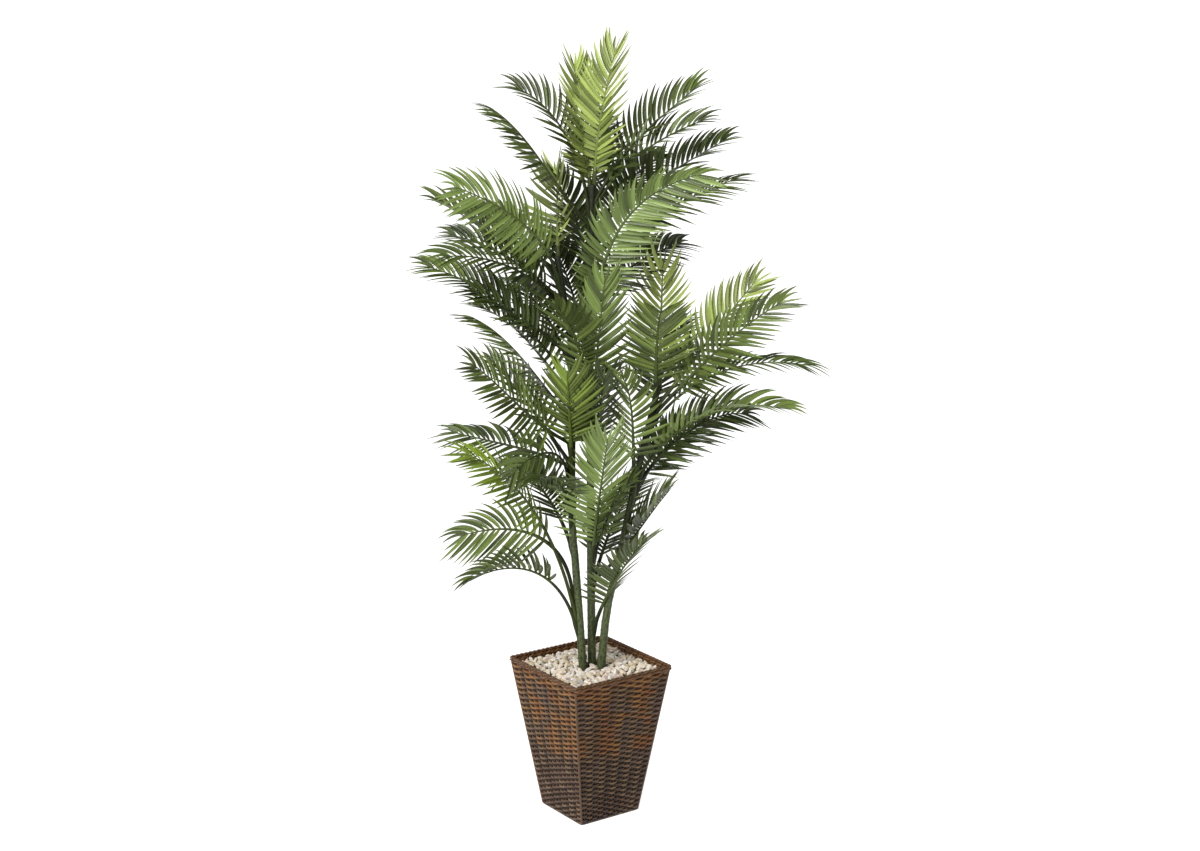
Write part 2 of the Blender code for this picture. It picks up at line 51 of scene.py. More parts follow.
UP = np.array((0.0, 0.0, 1.0))

# The plant in its pot, as in the part
CROWN_YAW = -35.0
POT_HEIGHT = 0.430
POT_TOP = 0.328  # wall to wall under the rim
POT_BOTTOM = 0.201
POT_WALL = 0.008
POT_CORNER = 0.010  # radius of the upright corners
CORNER_LEAST = 0.001  # what is left of it deep inside the wall
LAST_SHARE = 0.99999  # of the way round the pot, still on its last side
BED_TOP = 0.412
BED_EDGE = 0.404
BED_LEVEL_SHARE = 0.72  # how much of the bed's width is level
GAP = 0.0003  # kept between pieces that touch

# Camera, in the crown frame
CAMERA_BACK = 5.498
CAMERA_HEIGHT = 2.358
CAMERA_PITCH = 12.94  # degrees down
CAMERA_YAW = -0.29
CAMERA_LENS = 62.97  # mm, on Blender's 36 mm sensor
CAMERA_REACH = 360.0  # past the floor's corners

# Studio
FLOOR_HALF = 120.0
FLOOR_GLOW = 0.92  # what a paper floor lit from below gives, so that it stays white
SKY_LOW = 0.85  # the studio's brightness at the horizon
SKY_HIGH = 0.30  # and above
SKY_FADE = 0.35  # sine of the climb at which it reaches that
KEY_FROM = (-0.70, -0.85, 0.95)  # the way to the key light, in the crown frame
KEY_STRENGTH = 3.3
KEY_SOFTNESS = 35.0  # degrees that it fills

# Weave: strands by turns light and dark pass outside every second stake, each where the next passes inside
SIDE_STAKES = 11
STAKES = SIDE_STAKES * 4
STRAND_STEPS = 8  # between two stakes
STRAND_SIDES = 6
ROW_FIRST = 0.0045
ROW_LAST = 0.4150
ROW_PITCH_FOOT = 0.0073
ROW_PITCH_TOP = 0.0076
STRAND_HIGH = 0.47  # half height, of the rows' distance
STRAND_THICK = 0.0024  # half thickness
SWING_DEPTH = 0.0033
SWING_FLATNESS = 0.8  # below 1 the strand stays outside longer
WEAVE_DEPTH = 0.0068  # of the weave's middle inside the wall's outer face
STAKE_RADIUS = 0.0022
STAKE_ENDS = (0.001, 0.412)  # heights of its foot and top
POST_RADIUS = 0.0034  # of the stakes in the corners
POST_DEPTH = 0.0050
POST_ENDS = (0.002, 0.414)
TONE_CHANGE = 0.196  # the height where the darker lower part begins
TONE_STEP = 0.0075  # how far that line steps up and down
TONE_STEP_STAKES = 4
TONE_RUN = 5  # rows that a column keeps its tone for, on average
EDGE_ROWS_FROM = 0.395  # the height from which the rows are all of the rim's tones

# Lining behind the weave, and the plate that the pot stands on: heights and depths of their rings
LINER_DEPTH = 0.0105
LINER_RINGS = ((0.0, 0.004), (0.0, 0.0085), (0.42, LINER_DEPTH), (0.4265, 0.006))
PLATE_RINGS = ((0.0, 0.090), (0.0, 0.004), (0.006, 0.004))
PLATE_GRAIN = 0.1  # the length that its grain is laid out for
LINER_STEPS = 80  # round the pot

# Rim: ropes of two twisted strands, each with its height, its depth in the wall, the radius of a strand and
# of the twist, and the strands' tones: one outside, three inside and two on top
Rope = namedtuple("Rope", "z depth radius twist tones")
ROPE_STEPS = 1100
ROPE_SIDES = 6
ROPES = (
    Rope(0.4200, 0.0028, 0.0024, 0.0020, ("cocoa", "amber")),
    Rope(0.4190, 0.0102, 0.0024, 0.0022, ("honey", "cocoa")),
    Rope(0.4105, 0.0108, 0.0024, 0.0022, ("amber", "cocoa")),
    Rope(0.4020, 0.0112, 0.0024, 0.0022, ("honey", "amber")),
    Rope(0.4265, 0.0038, 0.0021, 0.0014, ("driftwood", "cocoa")),
    Rope(0.4263, 0.0082, 0.0021, 0.0014, ("amber", "cocoa")),
)
ROPE_LAY = 0.030  # the length of one turn
TIES = 24  # round the rim
TIE_HALF = 0.0009  # half width
TIE_GRAIN = 0.05  # the length that its grain is laid out for
TIE_ROUTE = (  # heights and depths, from the top of the rim down its inside
    (0.4300, 0.0050),
    (0.4300, 0.0085),
    (0.4270, 0.0112),
    (0.4200, 0.0146),
    (0.4110, 0.0152),
    (0.4020, 0.0156),
)

# Pebbles
STONE_KINDS = 18
STONE_CUTS = 10
STONE_CUT_AT = (0.42, 0.76)  # how far out the cuts lie, of the radius
STONE_PITCH = 0.0146
STONE_SCATTER = 0.4  # of the pitch
STONE_HALF = (0.0142, 0.0094, 0.0084)  # half length, width and height
STONE_SIZES = (0.78, 1.18)  # the least and the most, of those
STONE_TILT = 0.45  # radians, on average
STONE_LIFT = (-0.001, 0.0035)  # of its middle over the bed
STONE_SHARES = {"chalk": 0.36, "cream": 0.36, "sand": 0.14, "rose": 0.08, "mist": 0.06}
STONE_CREASE = 24  # edges sharper than this stay crisp, in degrees

# Stems, as in the part
Stem = namedtuple("Stem", "name foot_radius tip_radius route")
STEM_STEPS = 13
STEMS = (
    Stem("left", 0.0115, 0.0080, ((-0.019, -0.012), (-0.038, -0.014, 0.70), (-0.048, -0.012, 0.84),
                                  (-0.047, 0.000, 1.10), (-0.048, 0.008, 1.30), (-0.085, 0.008, 1.55))),
    Stem("centre", 0.0115, 0.0075, ((0.006, 0.018), (0.003, 0.020, 0.70), (0.002, 0.014, 1.10),
                                    (0.003, 0.008, 1.50), (0.008, 0.004, 1.74))),
    Stem("right", 0.0115, 0.0080, ((0.031, -0.010), (0.047, -0.010, 0.58), (0.082, -0.006, 0.735),
                                   (0.121, 0.000, 0.93), (0.172, 0.008, 1.15), (0.187, 0.010, 1.20))),
)
STEM_ROW = 0.0025  # height of a row of the stem's mesh
STEM_SIDES = 20
RING_SPACING = 0.024
RING_WIDTH = 0.0022
RING_RELIEF = 0.06  # of the radius
STREAK_RELIEF = 0.03
STEM_SINK = 0.006  # how deep it reaches among the pebbles
STEM_CROWN = 0.45  # the blunt tip's radius, as a share of the stem's
STEM_CROWN_HEIGHT = 0.003
STEM_PAINTED_SHADE_FROM = 0.980  # the height above which the stem is painted dark, as painted shade among the fronds

# Ribs: the part's widths, depths and shares, made fuller and rounder
PETIOLE_WIDTH = 0.0065
PETIOLE_DEPTH = 0.0050
RIB_WIDTH = 0.0045  # where the leaflets begin
RIB_DEPTH = 0.0032
RIB_END_WIDTH = 0.0022
RIB_END_DEPTH = 0.0016
RIB_END_SHARE = 0.86  # the last leaflets run on from here to the frond's tip
RIB_SAMPLES = 48
RIB_ROWS = 40
RIB_SIDES = 8
RIB_LAST_SHARE = 0.90
RIB_POINT = 0.0007  # its size there
RIB_FULLNESS = (2.0, 2.5, 1.4, 1.0)  # of the part's rib, at its foot, first leaflets, last ones and tip
FOOT_FLARE = 0.4  # how much thicker the petiole is at its foot
FOOT_FLARE_SHARE = 0.02  # of the rib's length

# Sheaths, by which the petioles grow out of their stems
SHEATH_SHARES = (1.0, 0.75, 0.5, 0.25)  # its rings, from the lowest, as shares of its length
SHEATH_LENGTH = 0.055
SHEATH_SINK = 0.5  # how far its lower end sinks into the stem, of the foot's distance from the axis
SHEATH_THINNING = 0.65  # how much thinner it is there

# Leaflets
LEAF_SPACING = 0.0150  # along the rib
DENSE_SPACING = 0.0108  # of the fronds that close the crown's middle and its top
DENSE_FRONDS = ("top", "back", "front", "low_front", "low_right", "right_front")
LEAF_ROOT_LENGTH = 0.74  # of the frond's longest leaflets
LEAF_END_LENGTH = 0.69
LEAF_LONGEST_AT = 0.38  # of the way from the first to the last
LEAF_FADE = 1.6  # how late they grow shorter towards the tip
LEAF_ROOT_ANGLE = 64.0  # degrees from the rib, swept further forward than the part's broad ones
LEAF_END_ANGLE = 20.0
LEAF_DROOP = 0.26  # of its length, for a level one
LEAF_HALF_WIDTH = 0.0064
LEAF_PLACES = (0.0, 0.12, 0.30, 0.50, 0.70, 0.87, 1.0)  # from its root to its tip
LEAF_WIDTHS = (0.34, 0.84, 1.0, 0.92, 0.66, 0.34, 0.03)  # and how wide it is there, of its widest
LEAF_ROWS = 9
LEAF_STRIPS = 4
LEAF_FOLD = 24.0  # degrees that each half is turned up
LEAF_BOW = 0.060  # how far its middle bends to the frond's tip, of its length
LEAF_CREASE = 30  # edges sharper than this stay crisp, in degrees
LAST_ANGLE = 9.0  # of the pair that ends the frond
SPACING_JITTER = 0.18  # of the spacing
ANGLE_JITTER = 3.0  # degrees, and so are the next two
LIFT_JITTER = 8.0
TWIST_JITTER = 18.0
LENGTH_JITTER = 0.07  # of the length
SHADE_SHARES = (0.46, 0.27, 0.27)  # of plain leaflets, of those with painted light and of those with painted shade
SUNNY_SHARES = (0.24, 0.72, 0.04)  # and in the fronds given more painted light, as if they caught the light
SUNNY_FRONDS = ("right_top", "right_c", "right_d", "left_front", "left_c", "low_left_b", "low_front")
DIM_SHARES = (0.32, 0.05, 0.63)  # and in those given more painted shade, as if they stood in the shade
DIM_FRONDS = ("back", "front_left_low", "front_mid_left", "left_top", "low_left_e", "low_right",
              "upper_left_a", "upper_right")

# One row a frond, as in the part: the height at which its petiole leaves the stem, its azimuth, how far from
# the stem and how high its tip is, the angle at which it rises and then falls, how stiffly it holds that
# rise, the bare share of its rib, the roll of its blade, the lift of its leaflets, their length, and its tint
Frond = namedtuple("Frond", "name stem foot azimuth reach tip rise fall spring bare roll lift leaf tint")
FRONDS = (
    Frond("top", "centre", 1.715, 60, 0.150, 2.128, 88, -58, 1.05, 0.15, 0, 30, 0.140, "light"),
    Frond("top_back", "centre", 1.705, 115, 0.130, 2.085, 84, -66, 1.05, 0.15, 0, 30, 0.130, "light"),
    Frond("upper_left_a", "centre", 1.690, 172, 0.245, 2.000, 82, -4, 1.15, 0.18, -30, 25, 0.125, "mid"),
    Frond("upper_left_b", "centre", 1.640, 200, 0.320, 1.970, 44, -20, 1.05, 0.30, -12, -20, 0.125, "mid"),
    Frond("upper_right_a", "centre", 1.700, 10, 0.320, 2.020, 64, -36, 1.05, 0.18, 25, 35, 0.130, "mid"),
    Frond("upper_right_b", "centre", 1.680, -10, 0.340, 1.930, 66, -18, 1.05, 0.18, 25, 25, 0.125, "mid"),
    Frond("upper_right_c", "centre", 1.620, 15, 0.418, 1.875, 42, -28, 1.05, 0.18, 25, 35, 0.125, "mid"),
    Frond("upper_right_d", "centre", 1.560, 5, 0.440, 1.770, 34, -16, 1.05, 0.22, 15, 5, 0.130, "mid"),
    Frond("left_top", "left", 1.540, 92, 0.100, 1.800, 87, -75, 1.05, 0.15, -35, 35, 0.130, "light"),
    Frond("left_front", "left", 1.500, 215, 0.370, 1.775, 74, -20, 1.00, 0.16, -60, 5, 0.150, "pale"),
    Frond("left_a", "left", 1.440, 190, 0.390, 1.720, 40, -12, 1.05, 0.21, -20, 35, 0.130, "mid"),
    Frond("left_b", "left", 1.420, 165, 0.364, 1.600, 50, 0, 1.05, 0.21, -25, 30, 0.120, "dark"),
    Frond("left_c", "left", 1.400, 200, 0.385, 1.560, 62, 14, 1.05, 0.18, -30, 20, 0.135, "dark"),
    Frond("left_d", "left", 1.290, 180, 0.435, 1.535, 42, -8, 1.05, 0.21, -30, 25, 0.130, "mid"),
    Frond("left_e", "left", 1.230, 190, 0.317, 1.480, 50, -8, 1.05, 0.18, -30, 25, 0.120, "dark"),
    Frond("left_f", "left", 1.180, 172, 0.295, 1.420, 55, -5, 1.05, 0.18, -20, 35, 0.120, "mid"),
    Frond("left_g", "left", 1.120, 200, 0.326, 1.425, 50, -15, 1.05, 0.18, 4, -16, 0.125, "mid"),
    Frond("left_h", "left", 1.050, 215, 0.355, 1.330, 28, -32, 1.05, 0.18, -58, 5, 0.125, "mid"),
    Frond("left_i", "left", 1.000, 160, 0.270, 1.285, 52, -35, 1.05, 0.22, -20, 25, 0.120, "mid"),
    Frond("low_left_a", "left", 0.985, 165, 0.380, 1.068, 22, -14, 1.05, 0.18, -30, 10, 0.125, "dark"),
    Frond("low_left_b", "left", 0.575, 203, 0.400, 1.075, 78, -10, 1.15, 0.42, -35, 0, 0.140, "bright"),
    Frond("low_left_c", "left", 0.950, 214, 0.210, 0.955, 84, 70, 2.20, 0.16, -30, 10, 0.115, "dark"),
    Frond("low_left_d", "left", 0.600, 178, 0.370, 0.765, 88, 28, 1.98, 0.40, -60, 0, 0.130, "mid"),
    Frond("low_left_e", "left", 0.545, 200, 0.350, 0.670, 74, 40, 1.85, 0.33, -5, 45, 0.100, "mid"),
    Frond("front_high", "centre", 1.340, -25, 0.390, 1.800, 89, -10, 1.70, 0.16, 118, 17, 0.130, "pale"),
    Frond("front_mid", "centre", 1.100, 300, 0.085, 1.550, 86, -80, 1.05, 0.15, -10, 10, 0.140, "pale"),
    Frond("front_mid_left", "centre", 1.200, 235, 0.200, 1.470, 76, -30, 1.05, 0.16, 0, 15, 0.150, "mid"),
    Frond("right_top", "right", 1.196, 82, 0.095, 1.560, 76, -72, 1.05, 0.14, 0, 28, 0.145, "light"),
    Frond("right_front", "right", 1.160, 276, 0.160, 1.420, 88, 20, 1.40, 0.18, 0, 10, 0.145, "mid"),
    Frond("right_a", "right", 1.150, 20, 0.338, 1.510, 46, -42, 1.05, 0.16, 45, 15, 0.130, "light"),
    Frond("right_b", "right", 1.130, 0, 0.400, 1.460, 48, -26, 1.05, 0.18, 45, 10, 0.130, "mid"),
    Frond("right_c", "right", 1.100, -8, 0.485, 1.250, 56, 22, 1.20, 0.16, 10, 15, 0.120, "dark"),
    Frond("right_d", "right", 0.970, -15, 0.460, 1.150, 60, 16, 1.30, 0.16, 15, 35, 0.125, "mid"),
    Frond("right_e", "right", 0.940, 20, 0.375, 1.085, 50, 26, 1.35, 0.16, 35, 15, 0.125, "dark"),
    Frond("right_f", "right", 0.950, 235, 0.105, 1.270, 88, -30, 1.30, 0.16, 0, 10, 0.135, "mid"),
    Frond("low_front", "centre", 0.700, 288, 0.160, 1.135, 80, -72, 1.05, 0.16, 0, 15, 0.160, "pale"),
    Frond("low_right_a", "centre", 0.660, -35, 0.290, 0.985, 40, -44, 1.05, 0.30, 20, 30, 0.130, "mid"),
    Frond("low_right_b", "centre", 0.530, -48, 0.256, 0.845, 66, -38, 1.05, 0.18, 0, 25, 0.130, "mid"),
    Frond("low_right_c", "centre", 0.730, 320, 0.175, 0.985, 72, -38, 1.05, 0.16, 40, 10, 0.120, "dark"),
    Frond("front_left_low", "left", 1.000, 262, 0.090, 1.285, 85, -78, 1.05, 0.16, 0, 15, 0.140, "bright"),
    Frond("front_centre_low", "centre", 1.000, 300, 0.090, 1.270, 84, -72, 1.05, 0.16, 0, 15, 0.140, "dark"),
    Frond("front_low_left", "left", 0.860, 250, 0.280, 1.000, 66, 12, 1.10, 0.18, 0, 10, 0.120, "dark"),
    Frond("back_left_upper", "centre", 1.520, 130, 0.150, 1.780, 80, -60, 1.05, 0.16, 0, 20, 0.120, "dark"),
    Frond("back_centre_upper", "centre", 1.270, 125, 0.230, 1.600, 72, -30, 1.05, 0.16, 0, 20, 0.135, "dark"),
    Frond("back_right_upper", "centre", 1.400, 42, 0.380, 1.560, 55, -5, 1.05, 0.18, 30, 20, 0.125, "dark"),
    Frond("back_left_high", "left", 1.470, 140, 0.390, 1.660, 56, -5, 1.05, 0.18, -20, 20, 0.125, "mid"),
    Frond("back_right_high", "centre", 1.580, 55, 0.390, 1.800, 58, -8, 1.05, 0.18, 20, 25, 0.125, "mid"),
    Frond("back_right_low", "right", 0.890, 50, 0.390, 1.050, 56, 5, 1.05, 0.18, 20, 20, 0.125, "mid"),
    Frond("back_top", "centre", 1.660, 85, 0.360, 1.900, 66, -5, 1.05, 0.18, 0, 20, 0.125, "mid"),
    Frond("back_high", "centre", 1.460, 100, 0.420, 1.640, 52, 5, 1.05, 0.18, 0, 25, 0.130, "dark"),
    Frond("back_left_mid", "left", 1.250, 120, 0.410, 1.440, 52, 5, 1.05, 0.18, 0, 20, 0.125, "dark"),
    Frond("back_right_mid", "right", 1.080, 70, 0.400, 1.340, 55, -5, 1.05, 0.18, 0, 25, 0.125, "dark"),
    Frond("back_low_mid", "centre", 0.980, 95, 0.420, 1.150, 52, 8, 1.05, 0.18, 0, 20, 0.125, "dark"),
    Frond("back_low_left", "left", 0.760, 125, 0.380, 0.930, 58, 10, 1.05, 0.18, 0, 20, 0.125, "mid"),
    Frond("back_low_right", "centre", 0.640, 62, 0.370, 0.860, 62, 8, 1.05, 0.18, 0, 25, 0.125, "mid"),
)

# Colours as seen, red, green and blue from 0 to 255
LEAF_COLOURS = {
    "light": (140, 155, 80),
    "pale": (110, 128, 66),
    "bright": (112, 132, 44),
    "mid": (87, 102, 45),
    "dark": (69, 82, 37),
}
SHADES = {"plain": 1.0, "sunny": 1.5, "shaded": 0.52}  # how bright their leaflets are, of the tint: sunny is painted light and shaded is painted shade
RIB_DARKNESS = {"petiole": 0.22, "rib": 0.58}  # of the leaflets' colour
WICKER_COLOURS = {
    "honey": (126, 87, 42),
    "amber": (111, 69, 31),
    "driftwood": (103, 79, 52),
    "cocoa": (81, 56, 33),
    "plum": (78, 61, 51),
    "umber": (56, 42, 33),
}
EDGE_TONES = {"amber": 0.40, "cocoa": 0.30, "honey": 0.20, "plum": 0.10}
TONES = {  # how often each comes in a zone's light strands, and in its dark ones
    "edge": (EDGE_TONES, EDGE_TONES),
    "warm": ({"honey": 0.52, "driftwood": 0.26, "amber": 0.22}, {"plum": 0.40, "cocoa": 0.32, "amber": 0.28}),
    "cool": ({"driftwood": 0.44, "amber": 0.32, "honey": 0.24}, {"plum": 0.42, "cocoa": 0.34, "amber": 0.24}),
    "low": ({"driftwood": 0.52, "cocoa": 0.48}, {"umber": 0.52, "plum": 0.48}),
}
STONE_COLOURS = {
    "chalk": (230, 223, 212),
    "cream": (224, 211, 190),
    "sand": (210, 192, 160),
    "rose": (222, 203, 190),
    "mist": (207, 200, 190),
}
STEM_COLOURS = {  # the darkest and the lightest
    "stem_low": ((24, 30, 16), (90, 102, 58)),
    # the upper stem's colours: painted shade among the fronds
    "stem_high": ((14, 18, 10), (46, 52, 32)),
}
# the bed's dark colour is painted shade, of the deep gaps between the pebbles
PLAIN_COLOURS = {"liner": (38, 26, 18), "bed": (54, 44, 32), "floor": (160, 160, 160)}

# Surfaces: how dark and how light the grain turns the colour, its least and most roughness, the space and
# the scale of its grain, the height of its relief, its gloss, and how fine the grain is
Surface = namedtuple("Surface", "shares roughness space scale relief gloss detail", defaults=(0.5, 4.0))
SURFACES = {
    "leaf": Surface((0.86, 1.14), (0.28, 0.44), "UV", (22.0, 3.0, 1.0), 0.0004, 0.42),
    "rib": Surface((0.70, 1.20), (0.45, 0.65), "UV", (6.0, 30.0, 1.0), 0.0003, 0.25),
    "wicker": Surface((0.55, 1.35), (0.32, 0.56), "UV", (9.0, 60.0, 1.0), 0.0005, 0.38),
    "stone": Surface((0.74, 1.05), (0.65, 0.90), "Object", (150.0,) * 3, 0.0008, 0.3),
    "stem": Surface((1.0, 1.0), (0.45, 0.70), "UV", (12.0, 90.0, 1.0), 0.0012, 0.35, 6.0),
    "liner": Surface((0.75, 1.25), (0.60, 0.70), "Object", (40.0,) * 3, 0.0005),
    "bed": Surface((0.75, 1.25), (0.80, 0.90), "Object", (120.0,) * 3, 0.0005),
    "floor": Surface((0.99, 1.01), (0.85, 0.95), "Object", (3.0,) * 3, 0.0),
}
GRAIN_STOPS = (0.30, 0.70)  # the noise's heights where it is darkest and lightest
GRAIN_ROUGHNESS = 0.6
BUMP_STRENGTH = 0.8


# Small tools

def linear(colour, factor):
    """Blender's linear colour, with alpha, of a colour as seen, made darker or lighter by a factor."""
    shares = [value / 255 for value in colour]
    light = [share / 12.92 if share <= 0.04045 else ((share + 0.055) / 1.055) ** 2.4 for share in shares]
    return (*(min(value * factor, 1.0) for value in light), 1.0)


def blend(first, second, share):
    """What lies at a share of the way from the first to the second."""
    return first + (second - first) * share


def heading(azimuth, climb=0.0):
    """Unit vector at an azimuth and a climb above the level, in degrees."""
    turn, rise = math.radians(azimuth), math.radians(climb)
    return np.array((math.cos(turn) * math.cos(rise), math.sin(turn) * math.cos(rise), math.sin(rise)))


def unit(vectors):
    """Vectors of the same directions and of length 1."""
    return vectors / np.linalg.norm(vectors, axis=-1, keepdims=True)


def column(values):
    """Numbers with one more axis, to multiply vectors by."""
    return np.asarray(values)[..., None]


def crown_turn():
    """The turn from the crown frame to the pot's."""
    return Matrix.Rotation(math.radians(CROWN_YAW), 4, "Z")


class Patchwork:
    """Gathers points and faces from many shapes into one mesh."""

    def __init__(self):
        self.points, self.corners, self.sizes, self.finishes, self.uvs = [], [], [], [], []
        self.count = 0

    def add_faces(self, points, faces, finish, uvs):
        """Faces all have the same number of corners, and uvs has one place for each corner."""
        self.points.append(points.reshape(-1, 3))
        self.corners.append(faces.ravel() + self.count)
        self.sizes.append(np.full(len(faces), faces.shape[1]))
        self.finishes.append(np.broadcast_to(finish, len(faces)))
        self.uvs.append(uvs.reshape(-1, 2))
        self.count += self.points[-1].shape[0]

    def add_grids(self, grids, finish=0, closed=False, length=1.0):
        """Adds grids of points, each of rows of columns, or of rings where closed.

        The finish is a number, or one number for each grid and row of faces. Across a row u runs from 0
        to 1, and v runs from 0 to the length along the grid.
        """
        number, rows, columns = grids.shape[:3]
        index = np.arange(number * rows * columns).reshape(number, rows, columns)
        if closed:
            index = np.concatenate((index, index[..., :1]), axis=2)
        spans = index.shape[2] - 1
        u, v = np.meshgrid(np.linspace(0, 1, spans + 1), np.linspace(0, length, rows))
        uv = np.broadcast_to(np.stack((u, v), axis=-1), (*index.shape, 2))
        faces = np.stack([part.reshape(-1) for part in quad_corners(index)], axis=1)
        uvs = np.stack([part.reshape(-1, 2) for part in quad_corners(uv)], axis=1)
        if np.ndim(finish):
            finish = np.repeat(np.broadcast_to(finish, (number, rows - 1)).ravel(), spans)
        self.add_faces(grids, faces, finish, uvs)

    def make(self, name, finishes, slot, nodes=(), turned=False, crease=None):
        """Makes the piece, in place, which rides on the plant's body and stands for the nodes."""
        mesh = bpy.data.meshes.new(name)
        points, corners = np.concatenate(self.points), np.concatenate(self.corners)
        sizes = np.concatenate(self.sizes)
        mesh.vertices.add(len(points))
        mesh.vertices.foreach_set("co", points.astype(np.float32).ravel())
        mesh.loops.add(len(corners))
        mesh.loops.foreach_set("vertex_index", corners.astype(np.int32))
        mesh.polygons.add(len(sizes))
        mesh.polygons.foreach_set("loop_start", (np.cumsum(sizes) - sizes).astype(np.int32))
        mesh.polygons.foreach_set("material_index", np.concatenate(self.finishes).astype(np.int32))
        mesh.uv_layers.new(name="UVMap")
        mesh.uv_layers[0].data.foreach_set("uv", np.concatenate(self.uvs).astype(np.float32).ravel())
        mesh.update(calc_edges=True)
        mesh.validate()
        for finish in finishes:
            mesh.materials.append(finish)
        if turned:
            mesh.transform(crown_turn())
        mesh.shade_smooth()
        if crease:
            mesh.set_sharp_from_angle(angle=math.radians(crease))
        piece = bpy.data.objects.new(name, mesh)
        bpy.context.scene.collection.objects.link(piece)
        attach(piece, BODY)
        if nodes:
            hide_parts(*nodes)


def quad_corners(grid):
    """The four corners of every quad of a grid, in order, along its second and third axes."""
    return grid[:, :-1, :-1], grid[:, :-1, 1:], grid[:, 1:, 1:], grid[:, 1:, :-1]


def tube(path, right, up, half_right, half_up, sides):
    """Rings round a path, from its right towards up, with a half size each way at every point."""
    angle = np.linspace(0, 2 * math.pi, sides, endpoint=False)
    across = right[:, None] * column(np.outer(half_right, np.cos(angle)))
    return path[:, None] + across + up[:, None] * column(np.outer(half_up, np.sin(angle)))


# Finishes

def add_node(material, kind, inputs):
    """Adds a node, with inputs set to numbers or linked to outputs."""
    tree = material.node_tree
    node = tree.nodes.new("ShaderNode" + kind)
    for key, value in inputs.items():
        if isinstance(value, bpy.types.NodeSocket):
            tree.links.new(value, node.inputs[key])
        else:
            node.inputs[key].default_value = value
    return node


def grained_finish(name, surface, dark, light):
    """A finish whose colour, roughness and bump follow one grain, stretched along the space's axes."""
    material = bpy.data.materials.new(name)
    material.use_nodes = True
    shader = material.node_tree.nodes["Principled BSDF"]
    place = add_node(material, "TexCoord", {}).outputs[surface.space]
    spot = add_node(material, "Mapping", {"Vector": place, "Scale": surface.scale}).outputs["Vector"]
    noise = {"Vector": spot, "Scale": 1.0, "Detail": surface.detail, "Roughness": GRAIN_ROUGHNESS}
    height = add_node(material, "TexNoise", noise).outputs["Fac"]
    ramp = add_node(material, "ValToRGB", {"Fac": height})
    for stop, position, colour in zip(ramp.color_ramp.elements, GRAIN_STOPS, (dark, light)):
        stop.position = position
        stop.color = colour
    smoothest, roughest = surface.roughness
    gloss = add_node(material, "MapRange", {"Value": height, "To Min": smoothest, "To Max": roughest})
    bumps = {"Height": height, "Distance": surface.relief, "Strength": BUMP_STRENGTH}
    bump = add_node(material, "Bump", bumps)
    links = material.node_tree.links
    links.new(ramp.outputs["Color"], shader.inputs["Base Color"])
    links.new(gloss.outputs["Result"], shader.inputs["Roughness"])
    links.new(bump.outputs["Normal"], shader.inputs["Normal"])
    shader.inputs["Specular IOR Level"].default_value = surface.gloss
    return material


def tinted_finish(name, kind, colour, factor=1.0):
    """A finish of one of the surfaces, in a colour made darker or lighter by a factor."""
    surface = SURFACES[kind]
    dark, light = (linear(colour, factor * share) for share in surface.shares)
    return grained_finish(name, surface, dark, light)


def leaf_finishes(tint):
    """The finishes of a tint's leaflets: plain, with painted light and with painted shade, each with fine
    veins along the leaf and a soft sheen.
    """
    colour = LEAF_COLOURS[tint]
    return [tinted_finish(f"leaf_{tint}_{shade}", "leaf", colour, factor) for shade, factor in SHADES.items()]


def rib_finishes(tint):
    """The finishes of a tint's dark petioles and of its ribs."""
    colour = LEAF_COLOURS[tint]
    return [tinted_finish(f"{part}_{tint}", "rib", colour, factor) for part, factor in RIB_DARKNESS.items()]


def plain_finish(name):
    """The finish of a thing that has a surface and a colour of its own."""
    return tinted_finish(name, name, PLAIN_COLOURS[name])


# Pot

def pot_half(z):
    """Half width of the wall's outside at a height."""
    return blend(POT_BOTTOM, POT_TOP, z / POT_HEIGHT) / 2


def pot_round(z):
    """How far it is round the wall's outside at a height."""
    return pot_half(z) * 8


def around_pot(shares, z, depth):
    """Points at shares of the way round the pot, a depth inside its wall, and the ways out of it there."""
    half = pot_half(z) - depth
    radius = np.maximum(POT_CORNER - depth, CORNER_LEAST)
    straight = half - radius
    side = np.floor(np.clip(shares, 0, LAST_SHARE) * 4)
    run = (shares * 4 - side - 0.5) * 2 * (straight + radius * math.pi / 4)
    turn = side * math.pi / 2 + np.sign(run) * np.maximum(np.abs(run) - straight, 0) / radius
    face = np.stack((np.cos(side * math.pi / 2), np.sin(side * math.pi / 2)), axis=-1)
    along = np.stack((-face[..., 1], face[..., 0]), axis=-1)
    out = np.stack((np.cos(turn), np.sin(turn)), axis=-1)
    level = column(np.clip(run, -straight, straight))
    flat = face * column(straight) + along * level + out * column(radius)
    points = np.concatenate((flat, column(np.broadcast_to(z, shares.shape))), axis=-1)
    return points, np.concatenate((out, column(np.zeros(shares.shape))), axis=-1)


def wall_frame(out):
    """The ways out of the sloping wall and up along it."""
    slope = (POT_TOP - POT_BOTTOM) / 2 / POT_HEIGHT
    return unit(out - UP * slope), unit(out * slope + UP)


def weave_rows():
    """Heights of the rows, closer together at the foot where the pot is narrower, and their distances."""
    heights, z = [], ROW_FIRST
    while z < ROW_LAST:
        pitch = blend(ROW_PITCH_FOOT, ROW_PITCH_TOP, z / ROW_LAST)
        heights.append((z, pitch))
        z += pitch
    return heights


def strand_grid(z, pitch, dark):
    """A strand that goes once round the pot, outside every second stake and inside the others."""
    shares = np.linspace(0, 1, STAKES * STRAND_STEPS + 1)
    wave = np.cos(math.pi * (shares * STAKES - 0.5 + dark))
    bulge = np.sign(wave) * np.abs(wave) ** SWING_FLATNESS * SWING_DEPTH
    points, out = around_pot(shares, z, WEAVE_DEPTH)
    outward, upward = wall_frame(out)
    thick, high = np.full(len(points), STRAND_THICK), np.full(len(points), pitch * STRAND_HIGH)
    return tube(points + outward * column(bulge), outward, -upward, thick, high, STRAND_SIDES)


